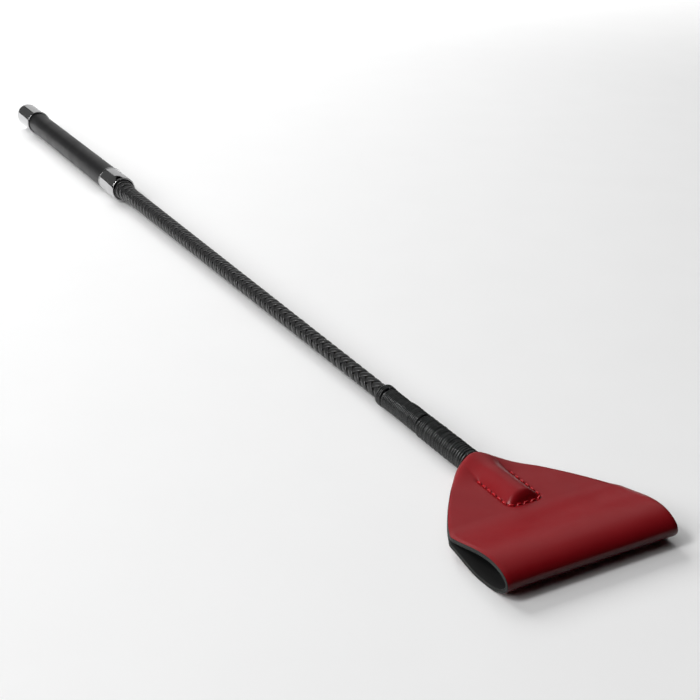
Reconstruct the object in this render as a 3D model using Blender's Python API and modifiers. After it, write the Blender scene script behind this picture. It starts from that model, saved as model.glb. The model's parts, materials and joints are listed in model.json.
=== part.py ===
"""Riding crop: a chromed cap and ferrule on a grip, a braided rod, thread whipping and a folded leather flap.

The crop is drawn along its own axis, x from the cap's end to the fold of the flap, y across the flap, z up.
An empty then lays it on the ground: it rests on the ferrule and on the flat underside of the fold, so its
axis slopes a little. All lengths are in metres.
"""

import math

import bmesh
import bpy

MM = 0.001

# Stations along the axis.
CAP_LENGTH = 33 * MM
SLEEVE_START = 5 * MM
SLEEVE_END = 216 * MM
ROD_BUTT = 104 * MM
REAR_BUSH = (110 * MM, 126 * MM)
FRONT_BUSH = (196 * MM, 216 * MM)
BRAID_START = 217 * MM
FERRULE_START = 201 * MM
FERRULE_END = 227 * MM
FLARE_END = 243 * MM
BEND_PIVOT = 289 * MM
RING_START = 554.3 * MM
WHIP_START = 558.9 * MM
BRAID_END = 585.6 * MM
NECK = 620 * MM
ROD_TIP = 645 * MM
POCKET_END = 652.8 * MM
FLEX_PIVOT = 655 * MM
FOLD_CENTRE = 685 * MM
LENGTH = 692.2 * MM

# Radii.
CAP_RADIUS = 8.6 * MM
GRIP_RADIUS = 7.6 * MM
FERRULE_RADIUS = 8.2 * MM
CORE_RADIUS = 6.2 * MM
CORE_BORE = 4.8 * MM
MOUTH_BRAID_RADIUS = 6.5 * MM
BRAID_BUTT_RADIUS = 5.2 * MM
BRAID_END_RADIUS = 3.6 * MM
RING_RADIUS = 5.05 * MM
WHIP_FIRST_RADIUS = 4.55 * MM
WHIP_SECOND_RADIUS = 4.95 * MM
TONGUE_RADIUS = 3.95 * MM
ROD_TIP_RADIUS = 2 * MM
TIP_CAP_RADIUS = 2.8 * MM
BEAD = 0.35 * MM

# Walls and clearances.
GAP = 0.3 * MM
FIT = 0.2 * MM
SHEET_METAL = 0.6 * MM
SLEEVE_WALL = 1.1 * MM
BRAID_WALL = 0.95 * MM
LEATHER = 0.8 * MM
LINING = 0.45 * MM
LINING_DEPTH = 1.05 * MM
BEND_CHAMFER = 1.1 * MM
BEND_GAP = 0.5 * MM
FLEX_GAP = 0.45 * MM

# The flap: half widths in plan at stations along the axis, and heights over the axis.
PLAN = [
    (588 * MM, 3.95 * MM),
    (620.1 * MM, 3.95 * MM),
    (621.3 * MM, 6.6 * MM),
    (624 * MM, 10.6 * MM),
    (628 * MM, 14.1 * MM),
    (637 * MM, 21.6 * MM),
    (648 * MM, 29.8 * MM),
    (657 * MM, 35.3 * MM),
    (662 * MM, 37.4 * MM),
    (692.2 * MM, 36.1 * MM),
]
HALF_STACK = 1.65 * MM
RIDGE_HEIGHT = 4.5 * MM
RIDGE_HALF_WIDTH = 7 * MM
RIDGE_DROP = 5.5 * MM
TONGUE_START = 588 * MM
LINING_START = 631 * MM
TONGUE_PART = 0.2 * MM
SPREAD_START = 620.2 * MM
SPREAD_END = 631 * MM
FOLD_TOP = 6.3 * MM
FOLD_NOSE_HEIGHT = 0.9 * MM
LOWER_FALL_START = 660 * MM
FLAT_START = 679.5 * MM
ARC_STEPS = 6
LEAF_STEPS = 5
SHEET_COLUMNS = 20
COLUMN_CROWDING = 3.0
NECK_ROWS = [x * MM for x in (620.1, 621, 622, 624, 627, 631, 636, 642, 648, 649.6, 651.2, 652.8)]

# Stitching of the pocket: a U of thread that runs down one side of the rod, round its tip and back.
THREAD_RADIUS = 0.35 * MM
SEAM_START = 634 * MM
SEAM_HALF_WIDTH = 7.4 * MM
SEAM_CORNER = 3 * MM

SEGMENTS = 28

# The slope of the axis and the height of its start follow from the two places where the crop rests.
REST_AT_FERRULE = (FERRULE_END - 1 * MM, -FERRULE_RADIUS)
REST_AT_FLAP = (FOLD_CENTRE, -4.5 * MM)
SLOPE = math.atan((REST_AT_FLAP[1] - REST_AT_FERRULE[1]) / (REST_AT_FLAP[0] - REST_AT_FERRULE[0]))
AXIS_HEIGHT = REST_AT_FERRULE[0] * math.sin(SLOPE) + FERRULE_RADIUS * math.cos(SLOPE)

for old in list(bpy.data.objects):
    bpy.data.objects.remove(old)

crop = bpy.data.collections.new("riding_crop")
bpy.context.scene.collection.children.link(crop)


def empty(name, parent=None, x=0.0):
    """A named empty at a station of the axis: the frame of the crop, or the pivot of a joint."""
    obj = bpy.data.objects.new(name, None)
    crop.objects.link(obj)
    obj.parent = parent
    obj.location.x = x
    return obj


axis_frame = empty("crop_axis")
axis_frame.rotation_euler.y = SLOPE
axis_frame.location = (-LENGTH * math.cos(SLOPE) / 2, 0, AXIS_HEIGHT)
bend_pivot = empty("shaft_bend_pivot", axis_frame, BEND_PIVOT)
flex_pivot = empty("flap_flex_pivot", bend_pivot, FLEX_PIVOT - BEND_PIVOT)


def material(name, color, roughness, metallic=0.0):
    mat = bpy.data.materials.new(name)
    mat.use_nodes = True
    shader = mat.node_tree.nodes["Principled BSDF"]
    shader.inputs["Base Color"].default_value = (*color, 1)
    shader.inputs["Roughness"].default_value = roughness
    shader.inputs["Metallic"].default_value = metallic
    return mat


CHROME = material("chrome", (0.78, 0.79, 0.80), 0.12, 1.0)
ALUMINIUM = material("aluminium", (0.62, 0.63, 0.64), 0.35, 1.0)
PLASTIC = material("black_plastic", (0.03, 0.03, 0.03), 0.45)
GRIP_COVER = material("grip_cover", (0.028, 0.028, 0.030), 0.42)
GLASS_FIBRE = material("glass_fibre", (0.55, 0.52, 0.42), 0.4)
BRAID = material("braid", (0.022, 0.023, 0.024), 0.4)
THREAD = material("black_thread", (0.018, 0.020, 0.020), 0.35)
RED_LEATHER = material("red_leather", (0.24, 0.022, 0.028), 0.38)
RED_THREAD = material("red_thread", (0.30, 0.02, 0.03), 0.5)
BLACK_LINING = material("black_lining", (0.02, 0.021, 0.021), 0.55)


def add(name, mesh, mat, pivot):
    """An object of that mesh, drawn in the crop's axis frame, that hangs from a pivot."""
    obj = bpy.data.objects.new(name, mesh)
    mesh.materials.append(mat)
    crop.objects.link(obj)
    obj.parent = pivot
    obj.location.x = -pivot_station(pivot)
    return obj


def pivot_station(pivot):
    return {axis_frame: 0.0, bend_pivot: BEND_PIVOT, flex_pivot: FLEX_PIVOT}[pivot]


def turned(name, outline, mat, pivot=axis_frame):
    """A piece turned about the axis. The outline's (station, radius) points run outwards, along and back in.

    It closes on itself, unless it starts and ends on the axis.
    """
    mesh = bpy.data.meshes.new(name)
    points = [(x, r, 0) for x, r in outline]
    count = len(points)
    open_ended = outline[0][1] == 0 and outline[-1][1] == 0
    edges = [(i, (i + 1) % count) for i in range(count - 1 if open_ended else count)]
    mesh.from_pydata(points, edges, [])
    obj = add(name, mesh, mat, pivot)
    screw = obj.modifiers.new("turn", "SCREW")
    screw.axis = "X"
    screw.steps = SEGMENTS
    screw.render_steps = SEGMENTS
    screw.use_merge_vertices = True
    screw.merge_threshold = 1e-6
    screw.use_normal_flip = True
    screw.use_smooth_shade = True
    return obj


def tube(name, start, end, inner, outer, mat, pivot=axis_frame):
    outline = [(start, inner), (start, outer), (end, outer), (end, inner)]
    return turned(name, outline, mat, pivot)


def braid_radius(x):
    """Outer radius of the braid, which tapers evenly past its flare."""
    share = (x - FLARE_END) / (BRAID_END - FLARE_END)
    return BRAID_BUTT_RADIUS + (BRAID_END_RADIUS - BRAID_BUTT_RADIUS) * max(share, 0)


def rod_radius(x):
    return braid_radius(x) - BRAID_WALL - GAP


def smooth(value, start, end):
    """0 before start, 1 after end, and an even S curve between."""
    share = min(max((value - start) / (end - start), 0), 1)
    return share * share * (3 - 2 * share)


# The handle: a cup-shaped cap and a ferrule of thin metal, pushed over the ends of a covered tube.
def end_cap():
    inside = CAP_RADIUS - SHEET_METAL
    turned(
        "end_cap",
        [
            (0, 0),
            (0, 5.0 * MM),
            (0.45 * MM, 6.6 * MM),
            (1.6 * MM, 7.9 * MM),
            (3.4 * MM, CAP_RADIUS),
            (CAP_LENGTH - 1.6 * MM, CAP_RADIUS),
            (CAP_LENGTH - 0.8 * MM, CAP_RADIUS + BEAD / 2),
            (CAP_LENGTH, CAP_RADIUS - BEAD),
            (CAP_LENGTH, inside),
            (3.6 * MM, inside),
            (1.2 * MM, 4.8 * MM),
            (1.2 * MM, 0),
        ],
        CHROME,
    )


def ferrule():
    start, end = FERRULE_START, FERRULE_END
    inside = FERRULE_RADIUS - SHEET_METAL + 0.3 * MM
    mouth = MOUTH_BRAID_RADIUS + 0.4 * MM
    turned(
        "ferrule",
        [
            (start, inside),
            (start, FERRULE_RADIUS - BEAD),
            (start + 0.8 * MM, FERRULE_RADIUS),
            (start + 1.6 * MM, FERRULE_RADIUS - BEAD / 2),
            (start + 5 * MM, FERRULE_RADIUS),
            (end - 5 * MM, FERRULE_RADIUS),
            (end - 1 * MM, FERRULE_RADIUS),
            (end - 0.3 * MM, FERRULE_RADIUS - 0.5 * MM),
            (end, FERRULE_RADIUS - 0.9 * MM),
            (end - 0.5 * MM, mouth),
            (end - 2.5 * MM, mouth),
            (end - 3.5 * MM, inside),
        ],
        CHROME,
    )


def handle_inside():
    sleeve_bore = GRIP_RADIUS - SLEEVE_WALL
    bush_radius = CORE_BORE - GAP
    tube("grip_sleeve", SLEEVE_START, SLEEVE_END, sleeve_bore, GRIP_RADIUS, GRIP_COVER)
    tube("handle_core", SLEEVE_START, SLEEVE_END, CORE_BORE, CORE_RADIUS, ALUMINIUM)
    butt_radius = rod_radius(FLARE_END)
    for name, (start, end) in (("rod_bush_rear", REAR_BUSH), ("rod_bush_front", FRONT_BUSH)):
        tube(name, start, end, butt_radius + FIT, bush_radius, PLASTIC)
    turned(
        "rod_root",
        [
            (ROD_BUTT, 0),
            (ROD_BUTT, butt_radius - 0.5 * MM),
            (ROD_BUTT + 0.5 * MM, butt_radius),
            (FLARE_END, butt_radius),
            (BEND_PIVOT - BEND_CHAMFER, rod_radius(BEND_PIVOT)),
            (BEND_PIVOT - BEND_GAP, rod_radius(BEND_PIVOT) - BEND_CHAMFER),
            (BEND_PIVOT - BEND_GAP, 0),
        ],
        GLASS_FIBRE,
    )


def braid_root():
    """The braid's first stretch, and the tapered filler that makes it flare at the ferrule."""
    start = BRAID_START
    under = rod_radius(FLARE_END) + FIT
    wall = BRAID_WALL
    taper_end = FERRULE_END + 7 * MM
    taper_radius = BRAID_BUTT_RADIUS + 0.5 * MM
    turned(
        "taper_filler",
        [
            (start, under),
            (start, MOUTH_BRAID_RADIUS - wall - GAP),
            (FERRULE_END, MOUTH_BRAID_RADIUS - wall - GAP),
            (taper_end, taper_radius - wall - GAP),
            (taper_end, under),
        ],
        PLASTIC,
    )
    turned(
        "braid_root",
        [
            (start, MOUTH_BRAID_RADIUS - wall),
            (start, MOUTH_BRAID_RADIUS),
            (FERRULE_END, MOUTH_BRAID_RADIUS),
            (taper_end, taper_radius),
            (FLARE_END, BRAID_BUTT_RADIUS),
            (BEND_PIVOT - BEND_CHAMFER, braid_radius(BEND_PIVOT)),
            (BEND_PIVOT - BEND_GAP, braid_radius(BEND_PIVOT) - BRAID_WALL / 2),
            (BEND_PIVOT - BEND_CHAMFER, braid_radius(BEND_PIVOT) - wall),
            (FLARE_END, BRAID_BUTT_RADIUS - wall),
            (taper_end, taper_radius - wall),
            (FERRULE_END, MOUTH_BRAID_RADIUS - wall),
        ],
        BRAID,
    )


# The shaft past the pivot of its bend: rod, braid, whipping and the tip inside the pocket.
def shaft():
    start = BEND_PIVOT + BEND_GAP
    radius = rod_radius(BEND_PIVOT)
    turned(
        "rod",
        [
            (start, 0),
            (start, radius - BEND_CHAMFER),
            (BEND_PIVOT + BEND_CHAMFER, radius),
            (BRAID_END, rod_radius(BRAID_END)),
            (ROD_TIP, ROD_TIP_RADIUS),
            (ROD_TIP, 0),
        ],
        GLASS_FIBRE,
        bend_pivot,
    )
    turned(
        "braid",
        [
            (BEND_PIVOT + BEND_CHAMFER, braid_radius(BEND_PIVOT) - BRAID_WALL),
            (BEND_PIVOT + BEND_GAP, braid_radius(BEND_PIVOT) - BRAID_WALL / 2),
            (BEND_PIVOT + BEND_CHAMFER, braid_radius(BEND_PIVOT)),
            (BRAID_END, BRAID_END_RADIUS),
            (BRAID_END, BRAID_END_RADIUS - BRAID_WALL),
        ],
        BRAID,
        bend_pivot,
    )
    tip_cap_start = ROD_TIP - 7 * MM
    tip_cap_end = ROD_TIP + 2.6 * MM
    bore = ROD_TIP_RADIUS + GAP
    turned(
        "rod_tip_cap",
        [
            (ROD_TIP + GAP, 0),
            (ROD_TIP + GAP, bore),
            (tip_cap_start, bore),
            (tip_cap_start, TIP_CAP_RADIUS),
            (tip_cap_end - 1.6 * MM, TIP_CAP_RADIUS),
            (tip_cap_end - 0.5 * MM, TIP_CAP_RADIUS - 0.7 * MM),
            (tip_cap_end, TIP_CAP_RADIUS - 1.8 * MM),
            (tip_cap_end, 0),
        ],
        PLASTIC,
        bend_pivot,
    )


def whipping():
    """The thread: a raised ring, a layer over the braid's end and a layer over the leather's tongues."""
    over_braid = BRAID_END_RADIUS + 0.4 * MM
    ring_end = WHIP_START - GAP
    middle = (RING_START + ring_end) / 2
    turned(
        "whipping_ring",
        [
            (RING_START, over_braid),
            (RING_START, RING_RADIUS - 0.6 * MM),
            (RING_START + 0.9 * MM, RING_RADIUS - 0.1 * MM),
            (middle, RING_RADIUS),
            (ring_end - 0.9 * MM, RING_RADIUS - 0.1 * MM),
            (ring_end, RING_RADIUS - 0.6 * MM),
            (ring_end, over_braid),
        ],
        THREAD,
        bend_pivot,
    )
    first_end = BRAID_END + GAP
    tube("whipping_first", WHIP_START, first_end, over_braid, WHIP_FIRST_RADIUS, THREAD, bend_pivot)
    second_start = first_end + GAP
    over_leather = TONGUE_RADIUS + 0.25 * MM
    tube("whipping_second", second_start, NECK, over_leather, WHIP_SECOND_RADIUS, THREAD, bend_pivot)


# The flap: one leather, folded at the far end, whose two ends lie round the rod under the whipping.
def half_width(x):
    """Half the leather's width in plan, along a smooth curve through the points of PLAN."""
    last = len(PLAN) - 1
    i = next((k for k in range(last) if x <= PLAN[k + 1][0]), last - 1)
    (x0, w0), (x1, w1) = PLAN[i], PLAN[i + 1]

    def slope(k):
        if k in (0, last):
            return 0.0 if k == 0 else (PLAN[k][1] - PLAN[k - 1][1]) / (PLAN[k][0] - PLAN[k - 1][0])
        before = (PLAN[k][1] - PLAN[k - 1][1]) / (PLAN[k][0] - PLAN[k - 1][0])
        after = (PLAN[k + 1][1] - PLAN[k][1]) / (PLAN[k + 1][0] - PLAN[k][0])
        return 0.0 if before * after <= 0 else 2 * before * after / (before + after)

    span = x1 - x0
    t = min(max((x - x0) / span, 0), 1)
    rise = w0 * (2 * t**3 - 3 * t**2 + 1) + w1 * (3 * t**2 - 2 * t**3)
    return rise + span * (slope(i) * (t**3 - 2 * t**2 + t) + slope(i + 1) * (t**3 - t**2))


def ground(x):
    """Height of the ground over the axis at a station."""
    return (x * math.sin(SLOPE) - AXIS_HEIGHT) / math.cos(SLOPE)


def neck_height(x, y):
    """Outer surface of the sewn end over the axis: a round tongue, then a leaf with the rod's ridge."""
    spread = smooth(x, SPREAD_START, SPREAD_END)
    across = min(abs(y) / half_width(x), 1)
    tongue = TONGUE_PART + (TONGUE_RADIUS - TONGUE_PART) * math.sqrt(1 - across**2)
    bump = (1 + math.cos(math.pi * min(abs(y) / RIDGE_HALF_WIDTH, 1))) / 2
    fall = 1 - smooth(x, POCKET_END - RIDGE_DROP, POCKET_END)
    leaf = HALF_STACK + (RIDGE_HEIGHT - HALF_STACK) * bump * fall
    return tongue + (leaf - tongue) * spread


def column(x, share):
    """Where a column of the sewn end crosses a station: even round the tongue, crowded over the ridge."""
    crowded = math.sinh(COLUMN_CROWDING * share) / math.sinh(COLUMN_CROWDING)
    round_the_tongue = math.sin(share * math.pi / 2)
    spread = smooth(x, SPREAD_START, SPREAD_END)
    return half_width(x) * (round_the_tongue + (crowded - round_the_tongue) * spread)


def sheet(name, rows, thickness, mat, pivot, outward):
    """A sheet of even thickness below a grid of points. outward says which side its faces show."""
    mesh = bpy.data.meshes.new(name)
    bm = bmesh.new()
    grid = [[bm.verts.new(p) for p in row] for row in rows]
    for first, second in zip(grid, grid[1:]):
        for a, b, c, d in zip(first, first[1:], second[1:], second):
            bm.faces.new((a, b, c, d) if outward else (d, c, b, a))
    bm.to_mesh(mesh)
    bm.free()
    obj = add(name, mesh, mat, pivot)
    solid = obj.modifiers.new("thickness", "SOLIDIFY")
    solid.thickness = thickness
    solid.offset = -1
    solid.use_even_offset = True
    return obj


def sewn_end(name, side, start, depth, thickness, mat, trim):
    """One end of the leather or of its lining. side is 1 for the upper one and -1 for the lower."""
    end = FLEX_PIVOT - FLEX_GAP
    shares = [i / (SHEET_COLUMNS / 2) - 1 for i in range(SHEET_COLUMNS + 1)]
    step = 0.05 * MM
    rows = []
    for x in [start] + [x for x in NECK_ROWS if x > start] + [end]:
        row = []
        for share in shares:
            y = column(x, share) * (1 - trim / half_width(x))
            inner = min(max(y, -half_width(x) * 0.98), half_width(x) * 0.98)
            height = neck_height(x, y)
            steep = (neck_height(x, inner + step) - neck_height(x, inner - step)) / (2 * step)
            lean = math.hypot(1, steep)
            row.append((x, y + depth * steep / lean, side * (height - depth / lean)))
        rows.append(row)
    return sheet(name, rows, thickness, mat, bend_pivot, outward=side < 0)


def loop_path(depth):
    """The flap's side view, down its upper leaf, round the fold and back, that deep under the outer face."""
    start = FLEX_PIVOT + FLEX_GAP
    path = []
    for i in range(LEAF_STEPS + 1):
        x = start + (FOLD_CENTRE - start) * i / LEAF_STEPS
        path.append((x, HALF_STACK + (FOLD_TOP - HALF_STACK) * smooth(x, FLEX_PIVOT, FOLD_CENTRE)))
    for i in range(1, 2 * ARC_STEPS + 1):
        turn = math.pi / 2 * (1 - i / ARC_STEPS)
        reach = FOLD_TOP - FOLD_NOSE_HEIGHT if turn > 0 else FOLD_NOSE_HEIGHT - ground(FOLD_CENTRE)
        x = FOLD_CENTRE + (LENGTH - FOLD_CENTRE) * math.cos(turn)
        path.append((x, FOLD_NOSE_HEIGHT + reach * math.sin(turn)))
    for i in range(LEAF_STEPS + 1):
        x = FLAT_START + (start - FLAT_START) * i / LEAF_STEPS
        low = smooth(x, LOWER_FALL_START, FLAT_START)
        path.append((x, -HALF_STACK + (ground(x) + HALF_STACK) * low))
    inward = []
    for i, (x, z) in enumerate(path):
        (xa, za), (xb, zb) = path[max(i - 1, 0)], path[min(i + 1, len(path) - 1)]
        length = math.hypot(xb - xa, zb - za)
        inward.append((x + depth * (zb - za) / length, z - depth * (xb - xa) / length))
    return path, inward


def flap_loop(name, depth, thickness, mat, trim):
    """The loop of the flap, past the joint. It is as wide as the outer face at each point, less the trim."""
    outer, inner = loop_path(depth)
    rows = []
    for (x, _), (inner_x, z) in zip(outer, inner):
        width = half_width(x) - trim
        rows.append([(inner_x, -width, z), (inner_x, width, z)])
    return sheet(name, rows, thickness, mat, flex_pivot, outward=False)


def pocket_seam(name, side):
    """A U of thread on one face of the flap, round the end of the rod."""
    height = side * (HALF_STACK + THREAD_RADIUS + GAP / 2)
    far = POCKET_END + 0.9 * MM
    half = SEAM_HALF_WIDTH
    points = [(SEAM_START, -half), (far - SEAM_CORNER, -half)]
    for i in range(1, 4):
        turn = math.pi / 2 * i / 4
        points.append((far - SEAM_CORNER * (1 - math.sin(turn)), -half + SEAM_CORNER * (1 - math.cos(turn))))
    points += [(far, -half + SEAM_CORNER)]
    points += [(x, -y) for x, y in reversed(points)]
    curve = bpy.data.curves.new(name, "CURVE")
    curve.dimensions = "3D"
    curve.bevel_depth = THREAD_RADIUS
    curve.bevel_resolution = 2
    curve.use_fill_caps = True
    spline = curve.splines.new("POLY")
    spline.points.add(len(points) - 1)
    for point, (x, y) in zip(spline.points, points):
        point.co = (x, y, height, 1)
    return add(name, curve, RED_THREAD, bend_pivot)


end_cap()
ferrule()
handle_inside()
braid_root()
shaft()
whipping()
for side, word in ((1, "upper"), (-1, "lower")):
    sewn_end(f"leather_neck_{word}", side, TONGUE_START, 0, LEATHER, RED_LEATHER, 0)
    sewn_end(f"lining_neck_{word}", side, LINING_START, LINING_DEPTH, LINING, BLACK_LINING, GAP)
    pocket_seam(f"pocket_seam_{word}", side)
flap_loop("flap_leather", 0, LEATHER, RED_LEATHER, 0)
flap_loop("flap_lining", LINING_DEPTH, LINING, BLACK_LINING, GAP)
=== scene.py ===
"""The looks of a riding crop: chromed handle ends, leatherette grip, plaited shaft, thread whipping, folded red flap.

Every piece is drawn in the crop's own axis frame, x from the cap's end towards the fold of the flap, y across it and z
up, and AXIS lays it in the world. All lengths are in metres.
"""

import json
import math

import bpy
import numpy as np
from mathutils import Matrix, Vector


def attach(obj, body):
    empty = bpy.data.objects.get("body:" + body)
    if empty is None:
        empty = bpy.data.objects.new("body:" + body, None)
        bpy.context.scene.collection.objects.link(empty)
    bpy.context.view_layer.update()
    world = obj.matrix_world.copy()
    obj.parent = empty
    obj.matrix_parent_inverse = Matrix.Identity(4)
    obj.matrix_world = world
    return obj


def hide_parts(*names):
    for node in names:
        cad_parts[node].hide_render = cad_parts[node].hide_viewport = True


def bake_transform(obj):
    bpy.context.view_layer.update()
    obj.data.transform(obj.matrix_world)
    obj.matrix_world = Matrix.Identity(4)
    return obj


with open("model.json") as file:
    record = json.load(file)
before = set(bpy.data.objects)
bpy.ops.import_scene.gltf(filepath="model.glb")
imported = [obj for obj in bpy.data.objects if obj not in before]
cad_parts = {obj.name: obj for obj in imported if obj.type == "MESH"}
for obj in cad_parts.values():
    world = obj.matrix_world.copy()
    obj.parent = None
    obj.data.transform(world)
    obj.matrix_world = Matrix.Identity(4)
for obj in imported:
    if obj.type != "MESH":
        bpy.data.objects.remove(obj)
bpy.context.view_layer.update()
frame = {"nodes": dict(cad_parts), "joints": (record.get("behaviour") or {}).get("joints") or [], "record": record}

MM = 0.001
TURN = 2 * math.pi

# The axis frame: the cap's end face is its origin, and that face looks back along the axis.
CAP_FACE = next(mount for mount in frame["record"]["mounts"] if mount["name"] == "cap_end")
ALONG = -Vector(CAP_FACE["axis"]).normalized()
ACROSS = Vector((0, 1, 0))
UP = ALONG.cross(ACROSS)
AXIS = Matrix.Translation(CAP_FACE["pos_m"]) @ Matrix((ALONG, ACROSS, UP)).transposed().to_4x4()
GROUND_SLOPE = -ALONG.z / ALONG.x
AXIS_HEIGHT = CAP_FACE["pos_m"][2]


def span(node):
    """First station, last station and greatest radius of a CAD node, in the axis frame."""
    inverse = AXIS.inverted()
    points = np.array([inverse @ vertex.co for vertex in frame["nodes"][node].data.vertices])
    return points[:, 0].min(), points[:, 0].max(), np.hypot(points[:, 1], points[:, 2]).max()


CAP_START, CAP_END, CAP_RADIUS = span("end_cap")
FERRULE_START, FERRULE_END, FERRULE_RADIUS = span("ferrule")
GRIP_RADIUS = span("grip_sleeve")[2]
BRAID_START, _, MOUTH_RADIUS = span("braid_root")
BRAID_END = span("braid")[1]
RING_START, RING_END, RING_RADIUS = span("whipping_ring")
FIRST_START, FIRST_END, FIRST_RADIUS = span("whipping_first")
SECOND_START, SECOND_END, SECOND_RADIUS = span("whipping_second")
ROD_START, _, ROD_RADIUS = span("rod_root")
ROD_END = span("rod")[1]
TONGUE_START = span("leather_neck_upper")[0]
LENGTH = span("flap_leather")[1]
JOINTS = {joint["name"]: AXIS.inverted() @ Vector(joint["pos_m"]) for joint in frame["joints"]}
FLEX_PIVOT = JOINTS["flap_flex"].x


def smooth(value, start, end):
    """0 before start, 1 after end, and an even S curve between."""
    share = np.clip((np.asarray(value, float) - start) / (end - start), 0, 1)
    return share * share * (3 - 2 * share)


def mix(a, b, share):
    return a + (b - a) * share


# ---------------------------------------------------------------- materials

# The wave texture's own repeat, at a scale of 1.
WAVE_REPEAT = 0.314
# How far the plies of a thread slant across it, in radians.
PLY_SLANT = 0.6


class Paint:
    """A Principled material whose colour, roughness and relief come from procedural patterns."""

    def __init__(self, name, uv=True, **constants):
        self.mat = bpy.data.materials.new(name)
        self.mat.use_nodes = True
        self.tree = self.mat.node_tree
        self.shader = self.tree.nodes["Principled BSDF"]
        for key, value in constants.items():
            self.shader.inputs[key.replace("_", " ").title().replace("Ior", "IOR")].default_value = value
        source = self.tree.nodes.new("ShaderNodeTexCoord")
        self.place = source.outputs["UV" if uv else "Object"]
        self.relief = None

    def node(self, kind, inputs=(), **settings):
        made = self.tree.nodes.new(kind)
        for key, value in settings.items():
            setattr(made, key, value)
        for key, value in dict(inputs).items():
            if isinstance(value, bpy.types.NodeSocket):
                self.tree.links.new(value, made.inputs[key])
            else:
                made.inputs[key].default_value = value
        return made

    def stretched(self, x=1.0, y=1.0, turn=0.0):
        """The pattern's place, drawn out along x or y by a factor under 1, and turned."""
        inputs = {"Vector": self.place, "Scale": (x, y, 1), "Rotation": (0, 0, turn)}
        return self.node("ShaderNodeMapping", inputs).outputs["Vector"]

    def noise(self, size, detail=3.0, place=None):
        """Cloudy noise from 0 to 1, whose clouds are about that size."""
        inputs = {"Vector": place or self.place, "Scale": 1 / size, "Detail": detail}
        return self.node("ShaderNodeTexNoise", inputs).outputs["Fac"]

    def cells(self, size):
        """Pebbles of about that size: 0 in the creases between them, and rising inwards."""
        inputs = {"Vector": self.place, "Scale": 1 / size}
        return self.node("ShaderNodeTexVoronoi", inputs, feature="DISTANCE_TO_EDGE").outputs["Distance"]

    def stripes(self, size, place):
        """Even stripes that repeat at that size."""
        inputs = {"Vector": place, "Scale": WAVE_REPEAT / size}
        return self.node("ShaderNodeTexWave", inputs).outputs["Fac"]

    def curve(self, value, low, high, out_low=0.0, out_high=1.0):
        """The value's stretch from low to high, spread over out_low to out_high."""
        inputs = {0: value, 1: low, 2: high, 3: out_low, 4: out_high}
        return self.node("ShaderNodeMapRange", inputs).outputs[0]

    def product(self, a, b, operation="MULTIPLY"):
        return self.node("ShaderNodeMath", {0: a, 1: b}, operation=operation).outputs[0]

    def blend(self, share, first, second):
        """A colour between two, by a pattern. Each may itself be a pattern."""
        made = self.node("ShaderNodeMix", data_type="RGBA")
        for index, value in ((0, share), (6, first), (7, second)):
            if isinstance(value, bpy.types.NodeSocket):
                self.tree.links.new(value, made.inputs[index])
            else:
                made.inputs[index].default_value = (*value, 1)
        return made.outputs[2]

    def color(self, value):
        self.tree.links.new(value, self.shader.inputs["Base Color"])

    def roughness(self, value):
        self.tree.links.new(value, self.shader.inputs["Roughness"])

    def bump(self, height, depth, strength=1.0):
        """Adds relief: height is a pattern from 0 to 1, depth its full height in metres."""
        inputs = {"Height": height, "Distance": depth, "Strength": strength}
        if self.relief is not None:
            inputs["Normal"] = self.relief
        self.relief = self.node("ShaderNodeBump", inputs).outputs["Normal"]
        self.tree.links.new(self.relief, self.shader.inputs["Normal"])


def chrome():
    """Bright chrome: faint cloudy smears and hairlines from handling."""
    paint = Paint("chrome", metallic=1.0)
    cloud = paint.noise(9 * MM, 4)
    hair = paint.noise(0.5 * MM, 2, paint.stretched(x=0.06, turn=0.35))
    paint.color(paint.blend(cloud, (0.46, 0.46, 0.465), (0.52, 0.52, 0.525)))
    wear = paint.product(paint.curve(cloud, 0.35, 0.75, 0.05, 0.15), paint.curve(hair, 0.5, 0.8, 0.0, 0.09), "ADD")
    paint.roughness(wear)
    paint.bump(hair, 0.002 * MM, 0.5)
    return paint.mat


def grip_leatherette():
    """Smooth black leatherette: a fine pebbled grain, rubbed a little smoother in patches."""
    paint = Paint("grip_leatherette", specular_ior_level=0.5)
    pebble = paint.cells(0.55 * MM)
    rub = paint.noise(14 * MM, 3)
    paint.color(paint.blend(rub, (0.0045, 0.0045, 0.005), (0.009, 0.009, 0.0095)))
    paint.roughness(paint.curve(rub, 0.3, 0.7, 0.50, 0.40))
    paint.bump(paint.curve(pebble, 0.0, 0.25), 0.012 * MM, 0.5)
    paint.bump(paint.noise(5 * MM, 2), 0.05 * MM, 0.35)
    return paint.mat


def braid_lace():
    """Waxed black lace: fine fibres along each strand, glossier in patches."""
    paint = Paint("braid_lace", specular_ior_level=0.6)
    fibres = paint.noise(0.35 * MM, 3, paint.stretched(x=0.12))
    patch = paint.noise(6 * MM, 2)
    paint.color(paint.blend(fibres, (0.009, 0.009, 0.0095), (0.026, 0.026, 0.0265)))
    paint.roughness(paint.curve(patch, 0.3, 0.7, 0.26, 0.40))
    paint.bump(fibres, 0.03 * MM, 0.6)
    return paint.mat


def whipping_thread():
    """Glossy waxed thread: its plies run slantwise round it, and the wax varies from turn to turn."""
    paint = Paint("whipping_thread", specular_ior_level=0.5)
    plies = paint.stripes(0.42 * MM, paint.stretched(turn=PLY_SLANT))
    wax = paint.curve(paint.noise(9 * MM, 2, paint.stretched(y=0.1)), 0.36, 0.64)
    paint.color(paint.blend(wax, (0.005, 0.0056, 0.0056), (0.032, 0.034, 0.034)))
    paint.roughness(paint.curve(wax, 0.0, 1.0, 0.26, 0.10))
    paint.bump(plies, 0.03 * MM, 0.5)
    return paint.mat


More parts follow.
